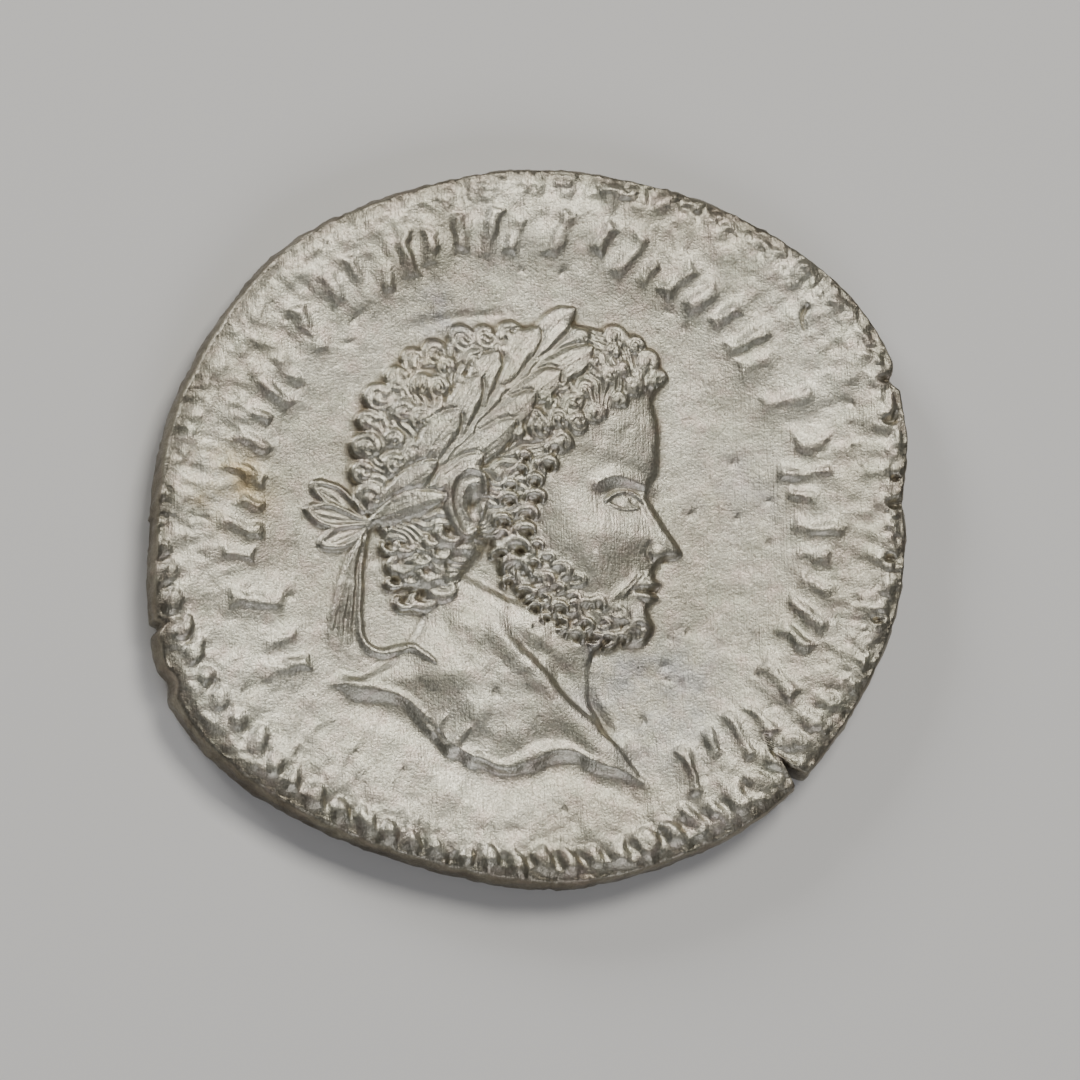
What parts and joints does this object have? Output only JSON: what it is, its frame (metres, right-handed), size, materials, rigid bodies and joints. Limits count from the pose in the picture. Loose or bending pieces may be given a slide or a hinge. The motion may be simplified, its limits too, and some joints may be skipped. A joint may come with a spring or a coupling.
{
  "type": "denarius coin",
  "caption": "Struck silver denarius with a wreathed bearded bust, a ring of plain strokes, a beaded border, an irregular cracked edge and a standing draped figure on the reverse.",
  "frame": {"origin": "middle of the coin's outline, on the plane its worn reverse rests on", "axes": "+Z out of the portrait side, +Y towards the top of the portrait, +X the way the portrait looks"},
  "size_m": [0.0198, 0.0184, 0.0018],
  "materials": {
    "silver": "struck silver, lightly worn and toned in the recesses"
  },
  "bodies": {
    "root": {"coin": "silver"}
  },
  "joints": []
}
